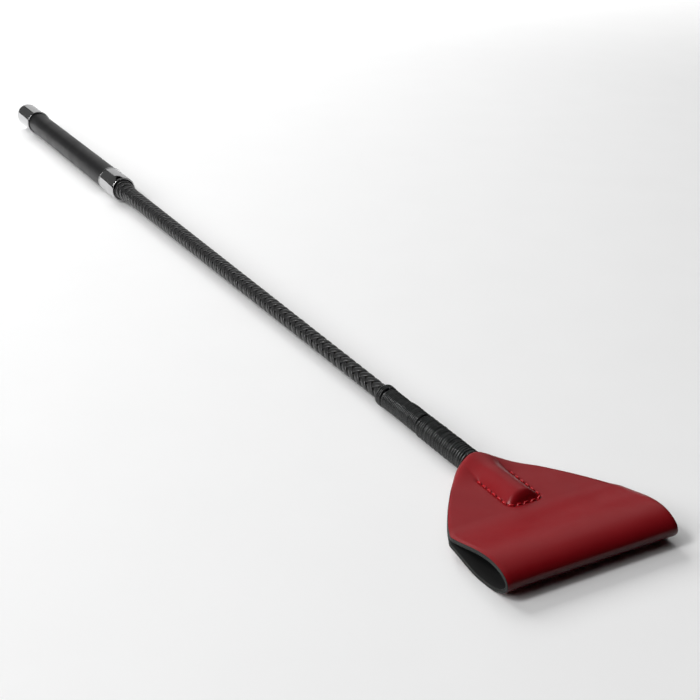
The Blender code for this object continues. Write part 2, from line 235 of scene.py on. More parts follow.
def red_leather():
    """Smooth dyed leather: fine grain, uneven dye, and faint rubbing."""
    paint = Paint("red_leather", specular_ior_level=0.3)
    dye = paint.noise(16 * MM, 4)
    speck = paint.noise(0.9 * MM, 3)
    deep = paint.blend(dye, (0.215, 0.0050, 0.0085), (0.265, 0.0065, 0.0105))
    paint.color(paint.blend(paint.curve(speck, 0.55, 0.85, 0.0, 0.35), deep, (0.155, 0.004, 0.006)))
    paint.roughness(paint.curve(paint.noise(7 * MM, 3), 0.3, 0.7, 0.28, 0.36))
    paint.bump(paint.curve(paint.cells(0.7 * MM), 0.0, 0.18), 0.010 * MM, 0.45)
    paint.bump(speck, 0.012 * MM, 0.4)
    return paint.mat


def edge_paint():
    """The dark paint that seals the cut edges: matt, with small runs and pits."""
    paint = Paint("edge_paint", specular_ior_level=0.4)
    runs = paint.noise(1.8 * MM, 3)
    paint.color(paint.blend(runs, (0.009, 0.011, 0.010), (0.020, 0.023, 0.021)))
    paint.roughness(paint.curve(runs, 0.3, 0.7, 0.45, 0.62))
    paint.bump(runs, 0.05 * MM, 0.5)
    return paint.mat


def black_lining():
    """Thin split-leather lining: matt, with a short nap."""
    paint = Paint("black_lining", specular_ior_level=0.35)
    nap = paint.noise(0.5 * MM, 4)
    paint.color(paint.blend(nap, (0.008, 0.008, 0.008), (0.020, 0.020, 0.020)))
    paint.roughness(paint.curve(nap, 0.3, 0.7, 0.55, 0.75))
    paint.bump(nap, 0.04 * MM, 0.6)
    return paint.mat


def red_thread():
    """Sewing thread: plies that run slantwise round it, with a painted highlight on each ply and painted shade between
    them.
    """
    paint = Paint("red_thread", specular_ior_level=0.6)
    plies = paint.stripes(0.3 * MM, paint.stretched(turn=PLY_SLANT))
    # Painted shade and highlight: the red darkens in the grooves between the plies and lightens on their crests, by the
    # same stripes as the relief.
    paint.color(paint.blend(plies, (0.34, 0.005, 0.010), (0.66, 0.012, 0.022)))
    paint.roughness(paint.curve(plies, 0.0, 1.0, 0.42, 0.28))
    paint.bump(plies, 0.04 * MM, 0.6)
    return paint.mat


def glass_fibre():
    """Ground glass fibre rod: resin with long pale fibres."""
    paint = Paint("glass_fibre")
    fibres = paint.noise(0.4 * MM, 3, paint.stretched(x=0.02))
    paint.color(paint.blend(fibres, (0.42, 0.40, 0.30), (0.62, 0.60, 0.50)))
    paint.roughness(paint.curve(fibres, 0.3, 0.7, 0.32, 0.48))
    paint.bump(fibres, 0.02 * MM, 0.4)
    return paint.mat


def drawn_aluminium():
    """The core's tube, with fine lines along it from drawing."""
    paint = Paint("drawn_aluminium", uv=False, metallic=1.0)
    lines = paint.noise(0.3 * MM, 3, paint.stretched(x=0.03))
    paint.color(paint.blend(lines, (0.55, 0.56, 0.57), (0.68, 0.69, 0.70)))
    paint.roughness(paint.curve(lines, 0.3, 0.7, 0.28, 0.42))
    paint.bump(lines, 0.01 * MM, 0.4)
    return paint.mat


def moulded_plastic():
    """Black plastic with a fine moulded texture, for the pieces inside."""
    paint = Paint("moulded_plastic", uv=False)
    texture = paint.noise(0.4 * MM, 2)
    paint.color(paint.blend(texture, (0.022, 0.022, 0.022), (0.034, 0.034, 0.034)))
    paint.roughness(paint.curve(texture, 0.3, 0.7, 0.42, 0.55))
    paint.bump(texture, 0.02 * MM, 0.4)
    return paint.mat


GLOW_START = 0.6
GLOW_FULL = 2.4
GLOW_STRENGTH = 0.84


def pale_floor():
    """Matt white paper. It glows faintly far from the crop, where the lamps no longer reach it."""
    paint = Paint("pale_floor", uv=False)
    grain = paint.noise(40 * MM, 3)
    paint.color(paint.blend(grain, (0.90, 0.90, 0.90), (0.92, 0.92, 0.92)))
    paint.roughness(paint.curve(grain, 0.3, 0.7, 0.85, 0.95))
    distance = paint.node("ShaderNodeVectorMath", {0: paint.place}, operation="LENGTH").outputs["Value"]
    reach = {0: distance, 1: GLOW_START, 2: GLOW_FULL, 3: 0.0, 4: GLOW_STRENGTH}
    glow = paint.node("ShaderNodeMapRange", reach, interpolation_type="SMOOTHSTEP")
    paint.shader.inputs["Emission Color"].default_value = (1, 1, 1, 1)
    paint.tree.links.new(glow.outputs[0], paint.shader.inputs["Emission Strength"])
    return paint.mat


# ---------------------------------------------------------------- meshes


def grid_object(name, points, uv, materials, closed, flip=False, caps=False):
    """A mesh over a grid of points, rows by columns, in the axis frame. Columns close into a ring if closed says so.

    uv holds a pair for each point. A closed grid's uv has one more column than points, for the seam.
    """
    rows, columns = points.shape[:2]
    last = columns if closed else columns - 1
    i, j = np.meshgrid(np.arange(rows - 1), np.arange(last), indexing="ij")
    i, j = i.ravel(), j.ravel()
    corners = [(i, j), (i, j + 1), (i + 1, j + 1), (i + 1, j)]
    if flip:
        corners.reverse()
    faces = np.stack([row * columns + column % columns for row, column in corners], 1)
    mesh = bpy.data.meshes.new(name)
    ends = [list(range(columns)), list(range((rows - 1) * columns, rows * columns))]
    ends = [ends[0] if flip else ends[0][::-1], ends[1][::-1] if flip else ends[1]] if caps else []
    mesh.from_pydata(points.reshape(-1, 3).tolist(), [], faces.tolist() + ends)
    layer = mesh.uv_layers.new(name="surface")
    loops = np.stack([uv[row, column] for row, column in corners], 1).reshape(-1, 2)
    for end, row in zip(ends, (0, rows - 1)):
        loops = np.vstack([loops, [uv[row, index % columns] for index in end]])
    layer.data.foreach_set("uv", loops.astype(np.float32).ravel())
    for mat in materials:
        mesh.materials.append(mat)
    mesh.shade_smooth()
    obj = bpy.data.objects.new(name, mesh)
    bpy.context.scene.collection.objects.link(obj)
    obj.matrix_world = AXIS
    return obj


FILLET_STEPS = 6
TURNED_SIDES = 128


def filleted(outline):
    """Points along an outline of (station, radius, fillet radius), with an arc in place of each corner."""
    made = []
    count = len(outline)
    for index in range(count):
        here = np.array(outline[index][:2], float)
        before = np.array(outline[index - 1][:2], float) - here
        after = np.array(outline[(index + 1) % count][:2], float) - here
        fillet = outline[index][2]
        if fillet == 0:
            made.append(here)
            continue
        a, b = before / np.linalg.norm(before), after / np.linalg.norm(after)
        reach = min(fillet, 0.49 * np.linalg.norm(before), 0.49 * np.linalg.norm(after))
        for step in range(FILLET_STEPS + 1):
            share = step / FILLET_STEPS
            made.append(here + a * reach * (1 - share) ** 2 + b * reach * share**2)
    return made


def turned(name, outline, mat):
    """A closed ring or cup turned about the axis, from an outline that runs outwards, along and back inwards."""
    profile = np.array(filleted(outline))
    profile = np.vstack([profile, profile[:1]])
    angles = np.linspace(0, TURN, TURNED_SIDES + 1) - TURN / 4
    x = np.repeat(profile[:, :1], TURNED_SIDES, 1)
    radius = np.maximum(profile[:, 1:2], 1e-6)
    points = np.stack([x, radius * np.cos(angles[:-1]), radius * np.sin(angles[:-1])], 2)
    length = np.concatenate([[0], np.cumsum(np.linalg.norm(np.diff(profile, axis=0), axis=1))])
    around = (angles + TURN / 4) * profile[:, 1].max()
    uv = np.stack(np.broadcast_arrays(length[:, None], around[None, :]), 2)
    return grid_object(name, points, uv, [mat], closed=True, flip=True)


SECTION_SIDES = 8


def swept(name, x, angle, radius, half_width, half_height, mat, offset=0.0, squareness=1.0):
    """A strand that lies on a cylinder: at each step its middle has that station, angle and radius.

    Its section wraps round the cylinder, half_width to each side and half_height in and out. A squareness under 1 fills
    its corners out. The offset shifts its pattern, so that no two strands wear the same.
    """
    drift = np.gradient(x)
    sideways = radius * np.gradient(angle)
    pace = np.hypot(drift, sideways)
    slant_x, slant_around = -sideways / pace, drift / pace
    turn = np.arange(SECTION_SIDES + 1) / SECTION_SIDES * TURN
    across = np.sign(np.cos(turn)) * np.abs(np.cos(turn)) ** squareness
    rise = np.sin(turn)
    width = half_width[:, None] * across
    px = x[:, None] + width * slant_x[:, None]
    pa = angle[:, None] + width * slant_around[:, None] / radius[:, None]
    pr = radius[:, None] + half_height[:, None] * rise
    points = np.stack([px, pr * np.cos(pa), pr * np.sin(pa)], 2)[:, :SECTION_SIDES]
    length = np.concatenate([[0], np.cumsum(np.linalg.norm(np.diff(points[:, 0], axis=0), axis=1))]) + offset
    girth = np.arange(SECTION_SIDES + 1) / SECTION_SIDES * 4 * half_width.mean()
    uv = np.stack(np.broadcast_arrays(length[:, None], girth[None, :] + offset), 2)
    return grid_object(name, points, uv, [mat], closed=True, flip=True, caps=True)


def joined(name, objects):
    """One object out of several, under the first one's matrix."""
    bpy.ops.object.select_all(action="DESELECT")
    for obj in objects:
        obj.select_set(True)
    bpy.context.view_layer.objects.active = objects[0]
    bpy.ops.object.join()
    made = bpy.context.view_layer.objects.active
    made.name = name
    made.data.name = name
    return made


# ---------------------------------------------------------------- the handle

# How loosely the cap and the collar sit on the grip.
BORE_GAP = 0.1 * MM
CAP_MOUTH_DEPTH = 3 * MM
FERRULE_MOUTH_DEPTH = 4 * MM


def end_cap(mat):
    """The cup of the cap: a broad rounded shoulder, a plain barrel and a slight bead at its mouth."""
    bore = GRIP_RADIUS + BORE_GAP
    barrel = CAP_RADIUS - 0.25 * MM
    bead = 1.3 * MM
    return turned(
        "end_cap_shell",
        [
            (CAP_START, 0, 0),
            (CAP_START, barrel - 1.8 * MM, 2.4 * MM),
            (CAP_START + 1.5 * MM, barrel - 0.45 * MM, 1.4 * MM),
            (CAP_START + 4.5 * MM, barrel, 2.2 * MM),
            (CAP_END - bead - 0.3 * MM, barrel, 0.3 * MM),
            (CAP_END - bead, barrel - 0.08 * MM, 0.15 * MM),
            (CAP_END - bead + 0.1 * MM, CAP_RADIUS - 0.05 * MM, 0.5 * MM),
            (CAP_END, CAP_RADIUS - 0.1 * MM, 0.7 * MM),
            (CAP_END, bore, 0.3 * MM),
            (CAP_END - CAP_MOUTH_DEPTH, bore, 0),
            (CAP_END - CAP_MOUTH_DEPTH, 0, 0),
        ],
        mat,
    )


def ferrule(mat):
    """The collar: a bead at each end, a straight barrel between, and a mouth that turns in towards the braid."""
    start, end, outer = FERRULE_START, FERRULE_END, FERRULE_RADIUS
    bore = GRIP_RADIUS + BORE_GAP
    mouth = MOUTH_RADIUS + 0.3 * MM
    barrel = outer - 0.15 * MM
    bead = 1.1 * MM
    return turned(
        "ferrule_shell",
        [
            (start, bore, 0),
            (start, outer - 0.05 * MM, 0.5 * MM),
            (start + bead, outer - 0.05 * MM, 0.5 * MM),
            (start + bead, barrel - 0.1 * MM, 0.12 * MM),
            (start + bead + 0.8 * MM, barrel, 0.6 * MM),
            (end - 6.0 * MM, barrel, 5.0 * MM),
            (end - bead - 0.2 * MM, barrel - 0.42 * MM, 0.2 * MM),
            (end - bead, barrel - 0.62 * MM, 0.12 * MM),
            (end - bead + 0.1 * MM, barrel - 0.28 * MM, 0.45 * MM),
            (end, barrel - 0.45 * MM, 0.6 * MM),
            (end, mouth, 0.3 * MM),
            (end - FERRULE_MOUTH_DEPTH, mouth, 0),
            (end - FERRULE_MOUTH_DEPTH, bore, 0),
        ],
        mat,
    )


def grip(mat):
    """The cover of the grip. It narrows by a hair under the mouths of the cap and the ferrule."""
    start, end = CAP_END - 2.8 * MM, FERRULE_START + 6 * MM
    tuck = 0.12 * MM
    return turned(
        "grip_cover",
        [
            (start, GRIP_RADIUS - 1 * MM, 0),
            (start, GRIP_RADIUS - tuck, 0),
            (CAP_END + 0.3 * MM, GRIP_RADIUS - tuck, 0.5 * MM),
            (CAP_END + 2.2 * MM, GRIP_RADIUS, 1.5 * MM),
            (FERRULE_START - 2.2 * MM, GRIP_RADIUS, 1.5 * MM),
            (FERRULE_START - 0.3 * MM, GRIP_RADIUS - tuck, 0.5 * MM),
            (end, GRIP_RADIUS - tuck, 0),
            (end, GRIP_RADIUS - 1 * MM, 0),
        ],
        mat,
    )


# ---------------------------------------------------------------- the plait

STRANDS_EACH_WAY = 4
CROSSINGS_PER_TURN = 2 * STRANDS_EACH_WAY
# Over two and under two.
CROSSINGS_PER_REPEAT = 4
REPEAT_AT_BUTT = 5.15 * MM
REPEAT_AT_TIP = 5.65 * MM
LACE_THICKNESS = 0.95 * MM
# How far a lace goes in to pass under the others.
DUCK = 0.75 * MM
FLARE_END = 243 * MM
BUTT_RADIUS = 5.2 * MM
BRAID_END_RADIUS = 3.6 * MM
PLAIT_TURN = math.radians(158.5)
STEPS_PER_CROSSING = 7
LACE_PATTERN_SHIFT = 0.13
# A lace is wider where it lies on top, as shares of the room between its neighbours.
NARROWEST, WIDEST = 0.36, 0.46
# How abruptly a lace goes from over to under.
OVER_UNDER_SHARPNESS = 1.3


def braid_radius(x):
    """Outer radius of the braid: a flare out of the ferrule, and then an even taper."""
    taper = mix(BUTT_RADIUS, BRAID_END_RADIUS, np.clip((x - FLARE_END) / (BRAID_END - FLARE_END), 0, 1))
    flare = 1 - smooth(x, FERRULE_END - 1 * MM, FLARE_END)
    return taper + (MOUTH_RADIUS - BUTT_RADIUS) * flare


def plait(mat):
    """Eight laces, four each way, over two and under two, which makes rows of leaning leaves along the shaft."""
    start = BRAID_START + 2 * MM
    mean_repeat = (REPEAT_AT_BUTT + REPEAT_AT_TIP) / 2
    crossings = 2 * (BRAID_END - start) / mean_repeat
    count = np.linspace(0, crossings, int(crossings * STEPS_PER_CROSSING))
    share = count / crossings
    x = start + (BRAID_END - start) * share * mix(REPEAT_AT_BUTT / mean_repeat, 1, share)
    laces = []
    for way in (1, -1):
        for strand in range(STRANDS_EACH_WAY):
            phase = 2 * strand if way > 0 else 3 - 2 * strand
            swing = np.cos(TURN / CROSSINGS_PER_REPEAT * (count - 0.5 + phase))
            over = np.tanh(OVER_UNDER_SHARPNESS * swing) / math.tanh(OVER_UNDER_SHARPNESS)
            outside = braid_radius(x) - LACE_THICKNESS / 2 - DUCK / 2
            radius = outside + over * DUCK / 2
            angle = PLAIT_TURN + way * count / CROSSINGS_PER_TURN * TURN + strand * TURN / STRANDS_EACH_WAY
            slope = np.arctan(radius * TURN / CROSSINGS_PER_TURN / (np.gradient(x) / np.gradient(count)))
            spacing = TURN * radius / STRANDS_EACH_WAY * np.cos(slope)
            width = spacing * mix(NARROWEST, WIDEST, (over + 1) / 2)
            height = np.full_like(x, LACE_THICKNESS / 2)
            offset = (strand + 5 * way) * LACE_PATTERN_SHIFT
            laces.append(swept("lace", x, angle, radius, width, height, mat, offset=offset, squareness=0.8))
    return joined("braid_plait", laces)


ROD_TIP_RADIUS = 2.0 * MM
ROD_CHAMFER = 0.5 * MM
ROD_CLEARANCE = 0.35 * MM
ROD_SIDES = 32


def rod(mat):
    """The glass fibre rod inside the braid, whole from the handle to the pocket."""
    x = np.concatenate([[ROD_START, ROD_START + ROD_CHAMFER], np.linspace(FERRULE_END, ROD_END, 90)])
    inside = braid_radius(np.maximum(x, FLARE_END)) - LACE_THICKNESS - DUCK - ROD_CLEARANCE
    inside = np.minimum(inside, ROD_RADIUS)
    inside = mix(inside, np.minimum(inside, ROD_TIP_RADIUS), smooth(x, BRAID_END, ROD_END))
    inside[0] -= ROD_CHAMFER
    angles = np.linspace(0, TURN, ROD_SIDES + 1)
    points = np.stack(
        [
            np.repeat(x[:, None], ROD_SIDES, 1),
            inside[:, None] * np.cos(angles[None, :-1]),
            inside[:, None] * np.sin(angles[None, :-1]),
        ],
        2,
    )
    uv = np.stack(np.broadcast_arrays(x[:, None], angles[None, :] * ROD_RADIUS), 2)
    return grid_object("rod_core", points, uv, [mat], closed=True, flip=True, caps=True)


# ---------------------------------------------------------------- the whipping

TURN_STEPS = 40
# The leather's upper tongue fills the first layer out, from a station on, and most on one side.
TONGUE_BUMP_START = 572.5 * MM
TONGUE_BUMP = 0.34 * MM
TONGUE_BUMP_SIDE = math.radians(78)
TURNS_UNEVEN = 0.03 * MM
RING_SHOULDER = 0.6 * MM


def wound(name, start, end, pitch_start, pitch_end, surface, mat):
    """Turns of thread wound side by side. surface gives the outer radius at a station and an angle."""
    mean = (pitch_start + pitch_end) / 2
    turns = (end - start) / mean
    count = np.linspace(0, turns, int(turns * TURN_STEPS))
    share = count / turns
    half = mix(pitch_start, pitch_end, share) / 2
    x = start + (end - start) * share * mix(pitch_start / mean, 1, share)
    x = np.clip(x, start + half, end - half)
    angle = count * TURN + TURN / 3
    uneven = TURNS_UNEVEN * (np.sin(count * 2.3) + np.sin(count * 0.77 + 1) + np.sin(angle * 3.1) * 0.5)
    return swept(name, x, angle, surface(x, angle) - half + uneven, half * 1.02, half, mat)


def ring_surface(x, angle):
    """The raised ring, rounded off to both sides."""
    middle, reach = (RING_START + RING_END) / 2, (RING_END - RING_START) / 2
    across = np.clip(np.abs(x - middle) / reach, 0, 1)
    return RING_RADIUS - 0.1 * MM - RING_SHOULDER * (1 - np.sqrt(1 - across**3 * 0.98))


def first_surface(x, angle):
    """The first layer, over the braid's end: fuller on top from where the upper tongue of the leather starts."""
    lobe = np.clip(0.5 + 0.5 * np.cos(angle - TONGUE_BUMP_SIDE), 0, 1) ** 1.5
    bump = TONGUE_BUMP * smooth(x, TONGUE_BUMP_START - 2 * MM, TONGUE_BUMP_START + 2 * MM) * lobe
    return FIRST_RADIUS + 0.06 * MM + bump + 0.05 * MM * np.sin(x / MM * 0.35)


def second_surface(x, angle):
    """The second layer, over the tongues: it starts a little lower, and waves slightly."""
    swell = smooth(x, SECOND_START - 1 * MM, SECOND_START + 3 * MM)
    return SECOND_RADIUS - 0.06 * MM * (1 - swell) + 0.08 * MM * np.sin(x / MM * 0.5 + angle * 0.3)


# ---------------------------------------------------------------- the flap

# Half widths of the leather in plan, at stations along the axis.
PLAN = np.array(
    [
        (588, 3.95),
        (619.6, 4.3),
        (620.4, 5.4),
        (622, 8.2),
        (624, 10.6),
        (628, 14.1),
        (637, 21.6),
        (648, 29.8),
        (657, 35.3),
        (662, 37.4),
        (692.2, 36.1),
    ]
) * MM

# The leather, the leather with its lining, and half of the sewn end, where both leaves meet.
LEATHER = 0.9 * MM
STACK = 1.4 * MM
HALF_STACK = 1.65 * MM

# The ridge over the rod's tip, and the end of its pocket.
RIDGE_HEIGHT = 5.2 * MM
RIDGE_HALF_WIDTH = 7.1 * MM
RIDGE_DROP = 3.6 * MM
POCKET_END = 653.2 * MM

# The two round tongues under the whipping, the gap where they part, and the puff of leather as they leave it.
TONGUE_RADIUS = 3.95 * MM
TONGUE_PART = 0.2 * MM
PUFF = 1.5 * MM
SPREAD_START = 619.6 * MM
SPREAD_END = 636 * MM

# The fold at the far end, and where the lower leaf comes down to the ground before it.
FOLD_CENTRE = 681.5 * MM
FOLD_TOP = 6.3 * MM
FOLD_NOSE_HEIGHT = 0.9 * MM
LOWER_FALL_START = 660 * MM
FLAT_START = 679 * MM
# The slight waves of the free leather.
WAVE_HEIGHT = 0.12 * MM

# The U of the pocket's seam.
SEAM_START = 633.6 * MM
SEAM_HALF_WIDTH = 7.35 * MM
SEAM_END = 653.8 * MM
SEAM_CORNER = 3 * MM
STITCH_PITCH = 3.1 * MM
STITCH_LENGTH = 2.35 * MM
THREAD_RADIUS = 0.36 * MM
CHANNEL_DEPTH = 0.16 * MM
HOLE_DEPTH = 0.30 * MM

# The skin's rows are wide under the whipping, close from just before its end to just past the pocket, and wider again
# over the free leather.
NECK_ROWS_START = 618.6 * MM
POCKET_ROWS_START = 632 * MM
FREE_ROWS_START = 656 * MM
ARC_STEPS = 36
COLUMN_CROWDING = 3.0


def half_width(x):
    """Half the leather's width in plan, along a smooth curve through the points of PLAN."""
    stations, widths = PLAN[:, 0], PLAN[:, 1]
    rise = np.diff(widths) / np.diff(stations)
    same_way = rise[:-1] * rise[1:] > 0
    between = np.where(same_way, 2 * rise[:-1] * rise[1:] / np.where(same_way, rise[:-1] + rise[1:], 1), 0)
    slopes = np.concatenate([[0], between, rise[-1:]])
    x = np.asarray(x, float)
    k = np.clip(np.searchsorted(stations, x) - 1, 0, len(rise) - 1)
    run = stations[k + 1] - stations[k]
    t = np.clip((x - stations[k]) / run, 0, 1)
    level = widths[k] * (2 * t**3 - 3 * t**2 + 1) + widths[k + 1] * (3 * t**2 - 2 * t**3)
    return level + run * (slopes[k] * (t**3 - 2 * t**2 + t) + slopes[k + 1] * (t**3 - t**2))


def ground(x):
    """Height of the ground over the axis at a station."""
    return x * GROUND_SLOPE - AXIS_HEIGHT / ALONG.x


def seam_path():
    """The U of the pocket's seam in plan: its points, and the distance along it at each."""
    corner = [
        (SEAM_END - SEAM_CORNER * (1 - math.sin(turn)), -SEAM_HALF_WIDTH + SEAM_CORNER * (1 - math.cos(turn)))
        for turn in np.linspace(0, TURN / 4, 9)
    ]
    side = [(SEAM_START, -SEAM_HALF_WIDTH)] + corner
    points = np.array(side + [(x, -y) for x, y in reversed(side)])
    length = np.concatenate([[0], np.cumsum(np.linalg.norm(np.diff(points, axis=0), axis=1))])
    return points, length


SEAM_POINTS, SEAM_LENGTHS = seam_path()


def on_seam(distance):
    """Where the seam is after that distance along it."""
    return np.stack([np.interp(distance, SEAM_LENGTHS, SEAM_POINTS[:, axis]) for axis in (0, 1)], -1)


STITCHES = int(round(SEAM_LENGTHS[-1] / STITCH_PITCH))
STITCH_MIDDLES = (np.arange(STITCHES) + 0.5) * SEAM_LENGTHS[-1] / STITCHES
SEAM_DENSE = on_seam(np.linspace(0, SEAM_LENGTHS[-1], 160))
HOLES = on_seam(np.concatenate([STITCH_MIDDLES - STITCH_LENGTH / 2, STITCH_MIDDLES + STITCH_LENGTH / 2]))


def near(x, y, targets, reach):
    """1 on the targets, falling off over reach, as a bell."""
    gaps = (x[..., None] - targets[:, 0]) ** 2 + (y[..., None] - targets[:, 1]) ** 2
    return np.exp(-gaps.min(-1) / reach**2)


def neck_height(x, y):
    """Outer surface of the sewn end over the axis: a round tongue at the neck, then a leaf with the rod's ridge."""
    spread = smooth(x, SPREAD_START, SPREAD_END)
    across = np.clip(np.abs(y) / half_width(x), 0, 1)
    puff = PUFF * smooth(x, SPREAD_START - 0.6 * MM, SPREAD_START + 1.4 * MM) * (1 - spread)
    tongue = TONGUE_PART + (TONGUE_RADIUS + puff - TONGUE_PART) * np.sqrt(1 - across**2)
    side = np.clip(np.abs(y) / RIDGE_HALF_WIDTH, 0, 1)
    bump = (1 - side**2.4) ** 1.25
    into_drop = np.clip((x - POCKET_END + RIDGE_DROP) / RIDGE_DROP, 0, 1)
    fall = (1 - into_drop**2.2) ** 0.8
    leaf = HALF_STACK + (RIDGE_HEIGHT - HALF_STACK) * bump * fall
    return mix(tongue, leaf, spread)


def sewing(x, y):
    """How far the seam pulls the leather in: a shallow channel, deeper at each hole."""
    channel = CHANNEL_DEPTH * near(x, y, SEAM_DENSE, 1.0 * MM)
    holes = HOLE_DEPTH * near(x, y, HOLES, 0.62 * MM)
    return channel + holes


def waves(x, y):
    """Slight unevenness of the free leather, none at the seam or the fold."""
    free = smooth(x, 652 * MM, 662 * MM) * (1 - smooth(x, 676 * MM, 686 * MM))
    return WAVE_HEIGHT * free * np.sin(y / (11 * MM) + 0.6) * np.sin(x / (7 * MM))


def column(x, share):
    """Where a column of the skin crosses a station: even round the tongue, crowded over the ridge."""
    crowded = np.sinh(COLUMN_CROWDING * share) / math.sinh(COLUMN_CROWDING)
    round_the_tongue = np.sin(share * math.pi / 2)
    return half_width(x) * mix(round_the_tongue, crowded, smooth(x, SPREAD_START, SPREAD_END))


def outer_face(travel, share):
    """A point of the folded skin's outer face.

    travel runs from 0 to 1 down the upper leaf, to 2 round the fold, and to 3 back along the lower leaf, which goes no
    lower than the ground. share runs from -1 to 1 across the skin.
    """
    flat = np.where(travel <= 1, travel, 3 - travel)
    x = mix(TONGUE_START, FOLD_CENTRE, np.clip(flat, 0, 1))
    y = column(x, share)
    side = np.where(travel <= 1, 1, -1)
    height = neck_height(x, y) - sewing(x, y)
    upper = height + (FOLD_TOP - HALF_STACK) * smooth(x, FLEX_PIVOT, FOLD_CENTRE) + waves(x, y)
    lower = height - (ground(x) + HALF_STACK) * smooth(x, LOWER_FALL_START, FLAT_START)
    lower = np.minimum(lower, -ground(x))
    z = np.where(side > 0, upper, -lower)
    turn = math.pi / 2 * (1 - 2 * np.clip(travel - 1, 0, 1))
    bent = (travel > 1) & (travel < 2)
    fold_x = FOLD_CENTRE + (LENGTH - FOLD_CENTRE) * np.cos(turn)
    reach = np.where(turn > 0, FOLD_TOP - FOLD_NOSE_HEIGHT, FOLD_NOSE_HEIGHT - ground(FOLD_CENTRE))
    fold_z = FOLD_NOSE_HEIGHT + reach * np.sin(turn)
    x = np.where(bent, fold_x, x)
    z = np.where(bent, fold_z, z)
    y = np.where(bent, column(fold_x, share), y)
    return np.stack([x, y, z], -1)


def leaf_travels():
    """Values of travel for the rows of the skin, down the upper leaf, round the fold and back."""
    stations = np.concatenate(
        [
            np.linspace(TONGUE_START, NECK_ROWS_START, 6, endpoint=False),
            np.linspace(NECK_ROWS_START, POCKET_ROWS_START, 34, endpoint=False),
            np.linspace(POCKET_ROWS_START, FREE_ROWS_START, 54, endpoint=False),
            np.linspace(FREE_ROWS_START, FOLD_CENTRE, 30),
        ]
    )
    leaf = (stations - TONGUE_START) / (FOLD_CENTRE - TONGUE_START)
    fold = 1 + np.linspace(0, 1, ARC_STEPS + 1)[1:-1]
    return np.concatenate([leaf, fold, 3 - leaf[::-1]])


RIM_STEPS = 7
RIM_PATTERN_SHIFT = 0.05


def skin(name, travels, top, bottom, trim, shares, roundness, materials):
    """A closed sheet between two depths, top and bottom, under the outer face.

    trim takes its sides in, and roundness rounds its rims, which wear the last of the materials.
    """
    travel, share = np.meshgrid(travels, shares, indexing="ij")
    step, nudge = 1e-3, 2e-3
    face = outer_face(travel, share)
    ahead = outer_face(np.minimum(travel + step, travels[-1]), share)
    behind = outer_face(np.maximum(travel - step, travels[0]), share)
    right = outer_face(travel, np.minimum(share + nudge, 1))
    left = outer_face(travel, np.maximum(share - nudge, -1))
    out = np.cross(right - left, ahead - behind)
    out /= -np.linalg.norm(out, axis=2, keepdims=True)
    run = np.linalg.norm(np.diff(face[:, len(shares) // 2], axis=0), axis=1)
    along = np.concatenate([[0], np.cumsum(run)])
    widest = np.abs(face[:, -1, 1])[:, None]

    def level(depth, pull):
        """The face at a depth, its sides taken in by the trim and by pull."""
        moved = face - out * depth
        keep = 1 - (trim + pull) / widest
        moved[..., 1] *= keep
        return moved

    depth_top = np.broadcast_to(np.asarray(top, float).reshape(-1, 1, 1), (len(travels), 1, 1))
    depth_low = np.broadcast_to(np.asarray(bottom, float).reshape(-1, 1, 1), (len(travels), 1, 1))
    angles = np.linspace(0, math.pi, RIM_STEPS)[1:-1]
    upper = level(depth_top, roundness)
    lower = level(depth_low, roundness)
    rim = []
    for angle in angles:
        depth = mix(depth_top, depth_low, (1 - math.cos(angle)) / 2)
        rim.append(level(depth, roundness * (1 - math.sin(angle))))
    right_rim = np.stack([ring[:, -1] for ring in rim], 1)
    left_rim = np.stack([ring[:, 0] for ring in rim[::-1]], 1)
    points = np.concatenate([upper, right_rim, lower[:, ::-1], left_rim], 1)
    rim_places = [side_rim[..., 1] + RIM_PATTERN_SHIFT for side_rim in (right_rim, left_rim)]
    sideways = np.concatenate([upper[..., 1], rim_places[0], lower[:, ::-1, 1], rim_places[1]], 1)
    sideways = np.concatenate([sideways, sideways[:, :1]], 1)
    uv = np.stack(np.broadcast_arrays(along[:, None], sideways), 2)
    obj = grid_object(name, points, uv, materials, closed=True, caps=True)
    columns = points.shape[1]
    faces = len(shares) - 1
    rims = np.zeros(len(obj.data.polygons), np.int32)
    index = np.arange((len(travels) - 1) * columns) % columns
    on_rim = ((index >= faces) & (index <= faces + len(angles))) | (index >= 2 * faces + len(angles) + 1)
    rims[: len(index)] = on_rim * (len(materials) - 1)
    obj.data.polygons.foreach_set("material_index", rims)
    return obj


def stitches(name, side, mat):
    """Separate stitches along the U of the seam, each a short arch of thread between two holes."""
    made = []
    arch = np.linspace(-1, 1, 11)
    around = np.linspace(0, TURN, 9)
    for middle in STITCH_MIDDLES:
        flat = on_seam(middle + arch * STITCH_LENGTH / 2)
        lean = on_seam(middle + 0.1 * MM) - on_seam(middle - 0.1 * MM)
        lean /= np.linalg.norm(lean)
        height = neck_height(flat[:, 0], flat[:, 1]) - CHANNEL_DEPTH + THREAD_RADIUS * (0.75 - 2.2 * arch**4)
        thin = THREAD_RADIUS * (1 - 0.25 * arch**4)
        out_side = np.cos(around)[None, :-1] * thin[:, None]
        out_up = np.sin(around)[None, :-1] * thin[:, None]
        points = np.stack(
            [
                flat[:, :1] - lean[1] * out_side,
                flat[:, 1:] + lean[0] * out_side,
                side * (height[:, None] + out_up),
            ],
            2,
        )
        along = middle + arch[:, None] * STITCH_LENGTH / 2
        uv = np.stack(np.broadcast_arrays(along, around[None, :] * THREAD_RADIUS), 2)
        made.append(grid_object("stitch", points, uv, [mat], closed=True, flip=side < 0, caps=True))
    return joined(name, made)


# ---------------------------------------------------------------- building

CHROME = chrome()
THREAD = whipping_thread()
LEATHER_RED = red_leather()
EDGE = edge_paint()
LINING_BLACK = black_lining()
RED_THREAD = red_thread()
PLASTIC = moulded_plastic()

